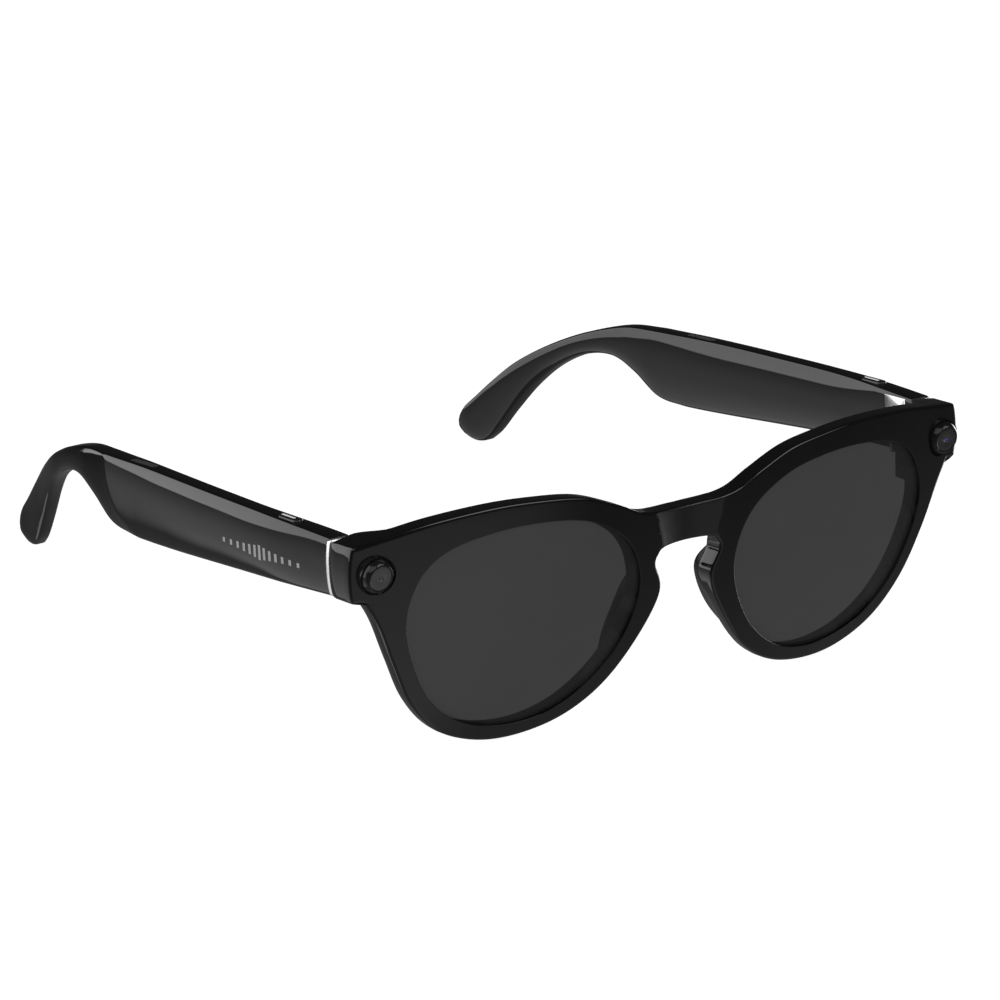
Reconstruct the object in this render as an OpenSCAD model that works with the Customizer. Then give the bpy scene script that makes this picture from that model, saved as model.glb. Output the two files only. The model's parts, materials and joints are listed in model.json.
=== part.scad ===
// Smart glasses with a camera, two temple buttons and a touch strip.
// Everything is drawn the way it is worn: x runs to the wearer's left, y runs back
// from the middle of the front, z is up from the top corner of the endpieces. Each
// sub-part is then tipped by rest_tilt so that the rims and the temple tips stand on z = 0.

/* [Front] */
// Half the width across the endpieces
half_w = 73; // [70:0.5:76]
// Depth of the front frame from face to back
frame_t = 4.8; // [4:0.1:6]
// Sideways radius of the front's curve
wrap_r = 180; // [150:5:220]
// Distance of the frontmost line of each half from the middle
crest_x = 18.5; // [15:0.5:22]
// Up and down radius of the front's curve
panto_r = 108; // [95:1:130]
// Depth from the face to the front of the lenses
lens_set = 1.6; // [1:0.1:2]
// Thickness of the lenses
lens_t = 2.0; // [1.6:0.1:2.4]
// Bottom of the endpieces
end_low = -10.9; // [-12:0.1:-10]
// Back face of the endpieces
end_back = 14.5; // [14:0.1:15]

/* [Camera and indicator] */
// Distance of each window from the middle
window_x = 68.6; // [68:0.1:69]
// Height of the windows
window_z = -5.85; // [-6.2:0.05:-5.5]
// Place of the endpiece's face at the windows
window_y = 6.2; // [5.8:0.1:6.6]
// How far the windows look down
window_tilt = 10; // [8:1:12]
// Outer radius of the bezels
bezel_r = 3.8; // [3.6:0.05:3.9]
// Radius of the windows
window_r = 2.4; // [2.3:0.05:2.5]

/* [Temples] */
// Thickness of the temples
temple_t = 5.3; // [5:0.1:5.6]
// Thickness of the trim rings
ring_t = 1.2; // [1:0.1:1.4]
// Gap between the endpieces and the trim rings
ring_gap = 0.2; // [0.15:0.05:0.3]
// Length of the temple buttons
button_len = 6.6; // [6:0.1:7]
// Centre of the temple buttons along the temple
button_y = 30.3; // [30:0.1:30.6]
// Travel of the temple buttons
button_travel = 0.4; // [0.2:0.05:0.4]
// Number of bars on each side of the middle touch bar
touch_pairs = 6; // [2:1:6]

/* [Hinges] */
// Distance of the hinge pins from the middle
hinge_x = 66.6; // [66.4:0.1:66.8]
// Place of the hinge pins along the temple
hinge_y = 16.1; // [16:0.1:16.2]
// Outer radius of the hinge knuckles
knuckle_r = 1.3; // [1.2:0.05:1.3]
// Radius of the hinge pins
pin_r = 0.6; // [0.5:0.05:0.7]
// Radial clearance of the turning knuckle on its pin
pin_fit = 0.05; // [0.02:0.01:0.1]

/* [Rest] */
// Tip of the whole frame when it stands on its rims and temple tips
rest_tilt = 6.2; // [5.5:0.1:6.5]
// Distance from the wearer's y = 0 to the middle of the frame as it stands
stand_y = 74.45; // [70:0.1:80]
// Height of the wearer's z = 0 above the table
stand_z = 46.85; // [44:0.05:48]

/* [Hidden] */

RIGHT = -1;
LEFT = 1;
BIG = 60;
EPS = 0.01;
black = "#1c1c1e";
dark = "#303033";
silver = "#d8d8dc";
gold = "#d9b45a";
board_green = "#1f5a3a";

// A smooth curve through points p, with a given number of steps between neighbours
function bend(a, b, c, d, t) =
  0.5 * (2 * b + (c - a) * t + (2 * a - 5 * b + 4 * c - d) * t * t
         + (3 * b - a - 3 * c + d) * t * t * t);
function open_curve(p, steps) = let (n = len(p) - 1) concat(
  [for (i = [0:n - 1], j = [0:steps - 1])
    bend(p[max(i - 1, 0)], p[i], p[i + 1], p[min(i + 2, n)], j / steps)],
  [p[n]]);
function closed_curve(p, steps) = let (n = len(p))
  [for (i = [0:n - 1], j = [0:steps - 1])
    bend(p[(i + n - 1) % n], p[i], p[(i + 1) % n], p[(i + 2) % n], j / steps)];

// Lens opening, as seen from the front
opening = closed_curve([[62.3, -18.5], [60.5, -9], [54.5, -3.6], [44, -1.4], [33, -1.4],
  [23.5, -3.3], [15.5, -8.3], [11.7, -16], [12.6, -24.5], [18, -33.7], [27, -40.4],
  [38, -42.3], [49, -39.4], [57.2, -31.8]], 4);
// Edges of the front: brow from the middle out, then the rim from the endpiece to the nose
brow = open_curve([[0, -5], [6, -4.7], [11.5, -3.8], [17, -1.2], [25, 1.8], [34, 3],
  [44, 3.4], [56, 2.7], [half_w, 0]], 4);
rim = open_curve([[half_w - 2, end_low], [68, -15.8], [64.6, -24], [60, -33.4],
  [53.5, -40.5], [45, -44.4], [36, -45.3], [26, -43.4], [17.5, -38.3], [10.5, -29.8],
  [6.3, -21], [7.8, -15.2], [5.4, -11.9], [0, -11.6]], 4);
half_front = concat(brow, [[half_w, end_low]], rim);
// Middle line of the cable channel in the brow
channel = open_curve([[0, -8.3], [8, -8], [15, -5], [22, -1.6], [32, 0.8], [44, 1.1],
  [54, 0.2], [63, -3]], 4);
channel_w = 1.8;

// Temple: middle line in plan as [y, x], and its outline from the side as [y, z]
plan = open_curve([[14, 70.6], [36, 71.3], [60, 70.6], [84, 69.3], [107, 67.6],
  [125, 64], [140, 59.4], [156, 56.4]], 4);
side_top = open_curve([[14, 0.4], [36, 1.1], [60, 1.2], [84, 1.1], [105, 0.4],
  [117, -2.4], [127, -6.3], [138, -12.3], [147.5, -19.8], [152.6, -24]], 4);
side_low = open_curve([[154.2, -27.2], [151.4, -30.2], [147, -30.8], [142.5, -27.4],
  [135.5, -19.4], [128, -12.4], [119, -8], [110.5, -6.8], [104, -9.3], [97.5, -13.4],
  [89, -14.4], [72, -13.9], [48, -12.5], [14, -10.9]], 4);
ring_front = end_back + ring_gap;
ring_rear = ring_front + ring_t;
half_t = temple_t / 2;
wall = 1.1;
cavity_top = -1.9;
cavity_start = 25;
cavity_end = 92;
cavity_step = 50;
cavity_low = [-9.4, -12];
slot = [79.9, 88.7, 0.8];

// Hinge knuckles along the pin: top, turning and bottom, as [low, high]
knuckles = [[-3.9, -2], [-7, -4], [-9, -7.1]];
leaf_z = [-9, -2];
leaf_top = 0.1;

// How far the windows stand out, and the barrel behind the left one
window_out = 1.4;
module_r = 2.3;
leaf_x = hinge_x - 4.8;
screw_z = [-3.6, -7.4];

contact_y = [85, 90];
contact_z = [-8, -3.5];
contact_x = 66;

function middle(y) = lookup(y, plan);
function mark_offset(i) = 1.5 * i + 0.1 * i * i;
function mark_height(i) = 2.9 * pow(0.82, i);

// ---- placing -------------------------------------------------------------

module stand() {
  translate([0, -stand_y, stand_z]) rotate([-rest_tilt, 0, 0]) children();
}

// Draws a piece of the left side, or its mirror image for the right side
module on(side) {
  stand() mirror([side == RIGHT ? 1 : 0, 0, 0]) children();
}

// Places children at a window, with z pointing out of the frame
module at_window() {
  translate([window_x, window_y, window_z]) rotate([90 + window_tilt, 0, 0]) children();
}

module box(low, high) {
  translate(low) cube(high - low);
}

// ---- front ---------------------------------------------------------------

// The space between two depths behind the curved face, for the left half
module slab(near, far) {
  steps = 12;
  angle = [-29, 5];
  mid_r = wrap_r - panto_r;
  turn = [for (i = [0:steps]) angle[0] + (angle[1] - angle[0]) * i / steps];
  band = concat(
    [for (a = turn) [mid_r + (panto_r - near) * cos(a), 1.8 + (panto_r - near) * sin(a)]],
    [for (i = [steps:-1:0])
      [mid_r + (panto_r - far) * cos(turn[i]), 1.8 + (panto_r - far) * sin(turn[i])]]);
  translate([crest_x, wrap_r - 1.1, 0]) rotate([0, 0, -102])
    rotate_extrude(angle = 32, $fn = 240) polygon(band);
}

// A flat outline in x and z, drawn straight back through the front
module through(y0 = -10, y1 = 30) {
  translate([0, y1, 0]) rotate([90, 0, 0]) linear_extrude(y1 - y0) children();
}

// Half of the front with its lens opening, flat
module front_outline() {
  difference() {
    polygon(half_front);
    polygon(opening);
  }
}

module channel_outline(w) {
  n = len(channel) - 1;
  normal = [for (i = [0:n])
    let (d = channel[min(i + 1, n)] - channel[max(i - 1, 0)]) [-d[1], d[0]] / norm(d)];
  polygon(concat([for (i = [0:n]) channel[i] + normal[i] * w / 2],
                 [for (i = [n:-1:0]) channel[i] - normal[i] * w / 2]));
}

module channel_band(near, far, w) {
  intersection() {
    slab(near, far);
    through() channel_outline(w);
  }
}

// The block behind each window that carries the hinge
module endpiece() {
  intersection() {
    slab(0, 18);
    through(-10, end_back) intersection() {
      front_outline();
      translate([59, end_low]) square([20, 20]);
    }
    translate([0, 0, end_low]) linear_extrude(20)
      polygon([[59, 0], [half_w, 0], [half_w, end_back], [hinge_x - 5.4, end_back], [59, 9]]);
  }
}

module window_hole() {
  at_window() {
    translate([0, 0, -1.6]) cylinder(r = bezel_r, h = 6, $fn = 64);
    translate([0, 0, -3]) cylinder(r = module_r + 0.2, h = 3, $fn = 64);
    translate([-3, -3.5, -12]) cube([6, 7, 9.8]);
  }
}

module hinge_screw_set(clear) {
  for (z = screw_z) translate([leaf_x + 1.6, end_back, z]) rotate([90, 0, 0]) {
    cylinder(r = 0.6 + clear, h = 4, $fn = 32);
    cylinder(r = 0.95 + clear, h = 0.5, $fn = 32);
  }
}

module hinge_plate_space() {
  box([leaf_x, end_back - 0.8, leaf_z[0]], [hinge_x - 1.1, end_back, leaf_z[1]]);
}

module half_frame() {
  difference() {
    union() {
      intersection() {
        slab(0, frame_t);
        through() front_outline();
      }
      endpiece();
    }
    channel_band(2.2, frame_t + 0.5, channel_w);
    window_hole();
    hinge_plate_space();
    hinge_screw_set(0);
  }
}

module front_frame() color(black) {
  on(LEFT) half_frame();
  on(RIGHT) half_frame();
}

module lens(side) color(dark, 0.7) on(side) intersection() {
  slab(lens_set, lens_set + lens_t);
  through() polygon(opening);
}
module lens_right() lens(RIGHT);
module lens_left() lens(LEFT);

// Moulded pad that leans back and out from the nose side of the rim
module nose_pad(side) color(black) on(side) difference() {
  hull() {
    for (p = [[8.2, 6.4, -17], [10.6, 11.2, -18], [12.6, 9.6, -32], [14.4, 13.2, -31]])
      translate(p) sphere(r = 1.5, $fn = 24);
  }
  slab(-2, frame_t);
}
module nose_pad_right() nose_pad(RIGHT);
module nose_pad_left() nose_pad(LEFT);

// Ring that stands out of the face round the window, its shoulder sloped
module bezel(side) color(dark) on(side) at_window() difference() {
  union() {
    translate([0, 0, -1.6]) cylinder(r = bezel_r, h = 1.6, $fn = 64);
    cylinder(r1 = bezel_r - 0.35, r2 = window_r + 0.2, h = window_out, $fn = 64);
  }
  translate([0, 0, -2]) cylinder(r = window_r, h = 4, $fn = 64);
}
module camera_bezel() bezel(LEFT);
module indicator_bezel() bezel(RIGHT);

module window(side, tint) color(tint) on(side) at_window()
  translate([0, 0, -0.2]) cylinder(r = window_r, h = window_out + 0.1, $fn = 64);
module camera_window() window(LEFT, "#14161c");
module indicator_window() window(RIGHT, "#565658");

// Lens barrel on its sensor board
module camera_module() color("#202228") on(LEFT) at_window() {
  translate([0, 0, -4.4]) cylinder(r = module_r, h = 4.1, $fn = 48);
  translate([-2.8, -2.8, -5.4]) cube([5.6, 5.6, 1]);
}

// Light on its small board
module indicator_board() color(board_green) on(RIGHT) at_window() {
  translate([-2.8, -3, -3.4]) cube([5.6, 6, 0.8]);
  translate([-1.2, -1.2, -2.6]) cube([2.4, 2.4, 0.9]);
}

module endpiece_cover(side) color(dark) on(side) intersection() {
  at_window() translate([-3, -3.5, -12]) cube([6, 7, 4.9]);
  box([0, 0, -BIG], [BIG * 2, end_back, BIG]);
}
module endpiece_cover_right() endpiece_cover(RIGHT);
module endpiece_cover_left() endpiece_cover(LEFT);

module front_flex_cable() color("#8a5a1e") for (side = [LEFT, RIGHT])
  on(side) channel_band(2.2, 2.6, channel_w);

module channel_cover() color(dark) for (side = [LEFT, RIGHT])
  on(side) channel_band(3.4, frame_t, channel_w);

// ---- hinges --------------------------------------------------------------

module knuckle(z, bore) {
  translate([hinge_x, hinge_y, z[0]]) difference() {
    cylinder(r = knuckle_r, h = z[1] - z[0], $fn = 48);
    translate([0, 0, -1]) cylinder(r = bore, h = 10, $fn = 48);
  }
}

module hinge_front_leaf(side) color(silver) on(side) difference() {
  union() {
    hinge_plate_space();
    for (k = [knuckles[0], knuckles[2]]) {
      box([leaf_x + 2.6, end_back, k[0]], [hinge_x - pin_r, hinge_y, k[1]]);
      translate([hinge_x, hinge_y, k[0]]) cylinder(r = knuckle_r, h = k[1] - k[0], $fn = 48);
    }
  }
  translate([hinge_x, hinge_y, -BIG / 2]) cylinder(r = pin_r, h = BIG, $fn = 48);
  hinge_screw_set(0);
}
module hinge_front_leaf_right() hinge_front_leaf(RIGHT);
module hinge_front_leaf_left() hinge_front_leaf(LEFT);

module hinge_screws(side) color(silver) on(side) hinge_screw_set(0);
module hinge_screws_right() hinge_screws(RIGHT);
module hinge_screws_left() hinge_screws(LEFT);

module hinge_pin(side) color(silver) on(side)
  translate([hinge_x, hinge_y, leaf_z[0] - 0.2])
    cylinder(r = pin_r, h = leaf_z[1] - leaf_z[0] + 0.4, $fn = 48);
module hinge_pin_right() hinge_pin(RIGHT);
module hinge_pin_left() hinge_pin(LEFT);

leaf_end = 23.5;
leaf_face = middle(20) - half_t;
module temple_leaf_plate() {
  box([leaf_face, hinge_y + 1, leaf_z[0]], [leaf_face + 1, leaf_end, leaf_top]);
}

module temple_leaf_arm() {
  box([hinge_x, hinge_y, knuckles[1][0]], [leaf_face, hinge_y + 2.4, knuckles[1][1]]);
}

module hinge_temple_leaf(side) color(silver) on(side) {
  temple_leaf_plate();
  difference() {
    temple_leaf_arm();
    translate([hinge_x, hinge_y, -BIG / 2]) cylinder(r = knuckle_r - 0.1, h = BIG, $fn = 48);
  }
  knuckle(knuckles[1], pin_r + pin_fit);
}
module hinge_temple_leaf_right() hinge_temple_leaf(RIGHT);
module hinge_temple_leaf_left() hinge_temple_leaf(LEFT);

// ---- temples -------------------------------------------------------------

// A slice of the temple between two places along it, two offsets from its middle line
// and two heights
module slice(y, x, z) {
  line = concat([y[0]], [for (p = plan) if (p[0] > y[0] && p[0] < y[1]) p[0]], [y[1]]);
  translate([0, 0, z[0]]) linear_extrude(z[1] - z[0]) polygon(concat(
    [for (v = line) [middle(v) + x[0], v]],
    [for (i = [len(line) - 1:-1:0]) [middle(line[i]) + x[1], line[i]]]));
}

// The temple's outline from the side, drawn through in x
module side_outline() {
  rotate([90, 0, 90]) linear_extrude(BIG * 2) polygon(concat(side_top, side_low));
}

module temple_body() {
  intersection() {
    side_outline();
    slice([ring_rear, 156], [-half_t, half_t], [-BIG, 10]);
  }
}

module cavity(x) {
  slice([cavity_start, cavity_end], x, [cavity_low[0], cavity_top]);
  slice([cavity_step, cavity_end], x, [cavity_low[1], cavity_low[0] + EPS]);
}

// Steel core of the ear hook, a round wire along the middle of the hook
core_path = open_curve([[98, -5.6], [108, -3.4], [118, -5.2], [128, -9.2], [137, -15.8],
  [146, -25]], 3);
core_r = 0.8;
core_sides = 8;
module core_wire() {
  n = len(core_path);
  rings = [for (i = [0:n - 1])
    let (p = core_path[i],
         d = core_path[min(i + 1, n - 1)] - core_path[max(i - 1, 0)],
         up = [-d[1], d[0]] / norm(d))
    for (j = [0:core_sides - 1])
      let (a = 360 * j / core_sides)
        [middle(p[0]) + core_r * cos(a), p[0] + core_r * sin(a) * up[0],
         p[1] + core_r * sin(a) * up[1]]];
  walls = [for (i = [0:n - 2], j = [0:core_sides - 1])
    let (a = i * core_sides + j, b = i * core_sides + (j + 1) % core_sides)
      [a, b, b + core_sides, a + core_sides]];
  ends = [[for (j = [core_sides - 1:-1:0]) j],
          [for (j = [0:core_sides - 1]) (n - 1) * core_sides + j]];
  polyhedron(rings, concat(walls, ends));
}

module button_space(grow) {
  slice([button_y - button_len / 2 - grow, button_y + button_len / 2 + grow],
        [-1.2 - grow, 1.2 + grow], [-0.5 - grow, 1.55]);
}

module touch_mark_set() {
  for (i = [-touch_pairs:touch_pairs])
    slice([37.4 + sign(i) * mark_offset(abs(i)) - 0.4, 37.4 + sign(i) * mark_offset(abs(i)) + 0.4],
          [half_t - 0.3, half_t],
          [-6.6 - mark_height(abs(i)) / 2, -6.6 + mark_height(abs(i)) / 2]);
}

module temple_shell(side) color(black) on(side) {
  difference() {
    temple_body();
    cavity([-half_t - 1, half_t - wall - 0.1]);
    slice([slot[0], slot[1]], [-slot[2], slot[2]], [cavity_top - 1, 4]);
    slice([button_y - button_len / 2 - 0.1, button_y + button_len / 2 + 0.1],
          [-1.3, 1.3], [-1.3, 4]);
    translate([middle(button_y), button_y, -3]) cylinder(r = 0.6, h = 3, $fn = 32);
    translate([middle(33), 33, -BIG / 2]) cylinder(r = 0.4, h = BIG / 2 - 5, $fn = 24);
    temple_leaf_plate();
    temple_leaf_arm();
    core_wire();
    if (side == RIGHT) touch_mark_set();
  }
  slice([ring_front + 0.1, ring_rear + 1], [-1.2, 1.6], [-9.6, -1]);
}
module temple_shell_right() temple_shell(RIGHT);
module temple_shell_left() temple_shell(LEFT);

module contact_plate() {
  box([contact_x, contact_y[0], contact_z[0]],
      [contact_x + wall, contact_y[1], contact_z[1]]);
}

module temple_cover(side) color(dark) on(side) difference() {
  cavity([-half_t, -half_t + wall]);
  if (side == RIGHT) contact_plate();
}
module temple_cover_right() temple_cover(RIGHT);
module temple_cover_left() temple_cover(LEFT);

module trim_ring(side) color(silver) on(side) difference() {
  slice([ring_front, ring_rear], [-half_t + 0.3, half_t + 0.4], [-11, 0.6]);
  slice([ring_front - 1, ring_rear + 1], [-1.2, 1.6], [-9.6, -1]);
}
module trim_ring_right() trim_ring(RIGHT);
module trim_ring_left() trim_ring(LEFT);

module core_piece(side) color("#8c8c90") on(side) core_wire();
module tip_core_right() core_piece(RIGHT);
module tip_core_left() core_piece(LEFT);

module battery(side) color("#3d5f96") on(side)
  slice([54, 73.5], [-1.4, 1.3], [-11.8, -2.2]);
module battery_right() battery(RIGHT);
module battery_left() battery(LEFT);

module speaker(side) color("#55555a") on(side)
  slice([75, 85.5], [-1.4, 1.3], [-11.8, -2.2]);
module speaker_right() speaker(RIGHT);
module speaker_left() speaker(LEFT);

// Mesh that fills the slot in the top of the temple
module speaker_mesh(side) color("#0c0c0d") on(side)
  slice([slot[0], slot[1]], [-slot[2], slot[2]], [cavity_top, 0.7]);
module speaker_mesh_right() speaker_mesh(RIGHT);
module speaker_mesh_left() speaker_mesh(LEFT);

module board(side, length) color(board_green) on(side)
  slice([33.5, 33.5 + length], [-0.2, 0.6], [-9, -2.4]);
module main_board() board(RIGHT, 19);
module aux_board() board(LEFT, 12);

module microphone(side) color(silver) on(side)
  translate([middle(30.5) - 0.7, 29.4, -9.2]) cube([1.6, 3.2, 1.2]);
module microphone_right() microphone(RIGHT);
module microphone_left() microphone(LEFT);

module button_switch(side) color(silver) on(side)
  translate([middle(button_y) - 1, button_y - 1.5, -3.4]) cube([2, 3, 1.25]);
module button_switch_right() button_switch(RIGHT);
module button_switch_left() button_switch(LEFT);

// Cap that stands out of the temple's top, with a stem down to its switch
module button(side) color(dark) on(side) {
  button_space(0);
  translate([middle(button_y), button_y, -1.6]) cylinder(r = 0.5, h = 1.2, $fn = 32);
}
module button_right() button(RIGHT);
module button_left() button(LEFT);

module touch_flex() color("#8a5a1e") on(RIGHT)
  slice([26, 50], [half_t - wall - 0.4, half_t - wall - 0.15], [-9, -4.2]);

module touch_marks() color(silver) on(RIGHT) touch_mark_set();

// Plate with two charging contacts on the inner face of the right temple
module charging_contacts() color(gold) on(RIGHT) contact_plate();

front_frame();
lens_right();
lens_left();
nose_pad_right();
nose_pad_left();
camera_bezel();
camera_window();
camera_module();
indicator_bezel();
indicator_window();
indicator_board();
endpiece_cover_right();
endpiece_cover_left();
front_flex_cable();
channel_cover();
hinge_front_leaf_right();
hinge_front_leaf_left();
hinge_screws_right();
hinge_screws_left();
hinge_pin_right();
hinge_pin_left();
temple_shell_right();
temple_shell_left();
temple_cover_right();
temple_cover_left();
trim_ring_right();
trim_ring_left();
hinge_temple_leaf_right();
hinge_temple_leaf_left();
battery_right();
battery_left();
speaker_right();
speaker_left();
speaker_mesh_right();
speaker_mesh_left();
main_board();
aux_board();
microphone_right();
microphone_left();
button_switch_right();
button_switch_left();
tip_core_right();
tip_core_left();
button_right();
button_left();
touch_flex();
touch_marks();
charging_contacts();
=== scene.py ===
"""Smart glasses: polished black front and temples, tinted lenses, two endpiece windows.

Every piece is shaped in the worn frame, in millimetres: x to the wearer's left, y back
from the middle of the front, z up from the endpieces' top corner. Stand then tips each
finished mesh to where the glasses stand, in metres, as the fold joints of the frame say.
"""

import json
import logging
import math
from dataclasses import dataclass, field
from enum import Enum
from typing import Iterable, Sequence

import bmesh
import bpy
import numpy as np
from mathutils import Matrix, Vector


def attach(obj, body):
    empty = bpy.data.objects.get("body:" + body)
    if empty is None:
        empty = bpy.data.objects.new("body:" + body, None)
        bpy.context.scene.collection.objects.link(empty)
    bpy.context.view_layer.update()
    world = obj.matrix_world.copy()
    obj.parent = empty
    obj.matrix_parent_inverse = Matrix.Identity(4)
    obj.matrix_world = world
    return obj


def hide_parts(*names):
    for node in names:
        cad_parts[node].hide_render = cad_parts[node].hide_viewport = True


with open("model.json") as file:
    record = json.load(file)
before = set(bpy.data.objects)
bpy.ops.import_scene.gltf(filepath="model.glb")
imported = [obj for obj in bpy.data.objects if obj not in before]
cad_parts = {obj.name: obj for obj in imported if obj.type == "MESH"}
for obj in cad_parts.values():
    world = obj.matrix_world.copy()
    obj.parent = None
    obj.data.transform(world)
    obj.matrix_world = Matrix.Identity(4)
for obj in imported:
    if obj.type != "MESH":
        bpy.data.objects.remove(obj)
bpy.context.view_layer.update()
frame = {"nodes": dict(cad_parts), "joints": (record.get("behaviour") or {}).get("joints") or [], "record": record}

LOG = logging.getLogger("glasses")
MM = 0.001
Point = Sequence[float]
Ring = list[Point]


class Side(Enum):
    """The wearer's side that a piece belongs to, with the sign of its x."""

    RIGHT = -1
    LEFT = 1

    @property
    def word(self) -> str:
        """The side as node and body names spell it."""
        return self.name.lower()


class Edge(Enum):
    """How the shading of a finished piece breaks at its edges, in degrees."""

    SOFT = 180.0
    MOULDED = 40.0
    MACHINED = 30.0


# ---- the worn frame and the table ------------------------------------------------------


@dataclass
class Stand:
    """Turns the worn frame, in millimetres, into the frame the glasses stand in.

    Attributes:
        hinge: A point of the left hinge pin in the worn frame.
        matrix: The transform from the worn frame to the standing one.
    """

    hinge: Point = (66.6, 16.1, -5.5)
    matrix: Matrix = field(init=False)

    def __post_init__(self) -> None:
        """Works the transform out from the left fold joint."""
        joint = next(j for j in frame["joints"] if j["name"] == "fold_left")
        tilt = math.atan2(joint["axis"][1], joint["axis"][2])
        turn = Matrix.Rotation(-tilt, 4, "X") @ Matrix.Scale(MM, 4)
        shift = Vector(joint["pos_m"]) - turn @ Vector(self.hinge)
        self.matrix = Matrix.Translation(shift) @ turn


STAND = Stand()


# ---- curves ----------------------------------------------------------------------------


def bend(points: Sequence[Point], place: float, closed: bool = False) -> np.ndarray:
    """Reads a smooth curve through points.

    Args:
        points: The points the curve passes through.
        place: Where to read it, counted in points from the first.
        closed: Whether the curve runs on from its last point to its first.

    Returns:
        The curve's point there.
    """
    count = len(points)
    low = math.floor(place) if closed else min(max(math.floor(place), 0), count - 2)
    t = place - low
    pick = (lambda i: points[i % count]) if closed else (lambda i: points[min(max(i, 0), count - 1)])
    a, b, c, d = (np.asarray(pick(low + i), float) for i in (-1, 0, 1, 2))
    return 0.5 * (2 * b + (c - a) * t + (2 * a - 5 * b + 4 * c - d) * t * t
                  + (3 * b - a - 3 * c + d) * t ** 3)


def ease(low: float, high: float, value: np.ndarray | float) -> np.ndarray | float:
    """Rises smoothly from 0 at low to 1 at high."""
    t = np.clip((value - low) / (high - low), 0, 1)
    return t * t * (3 - 2 * t)


def spread(low: float, high: float, steps: int) -> list[float]:
    """Numbers from low to high, both ends included, in equal steps."""
    return [low + (high - low) * i / steps for i in range(steps + 1)]


# ---- the workbench: everything that shapes a mesh ---------------------------------------


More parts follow.
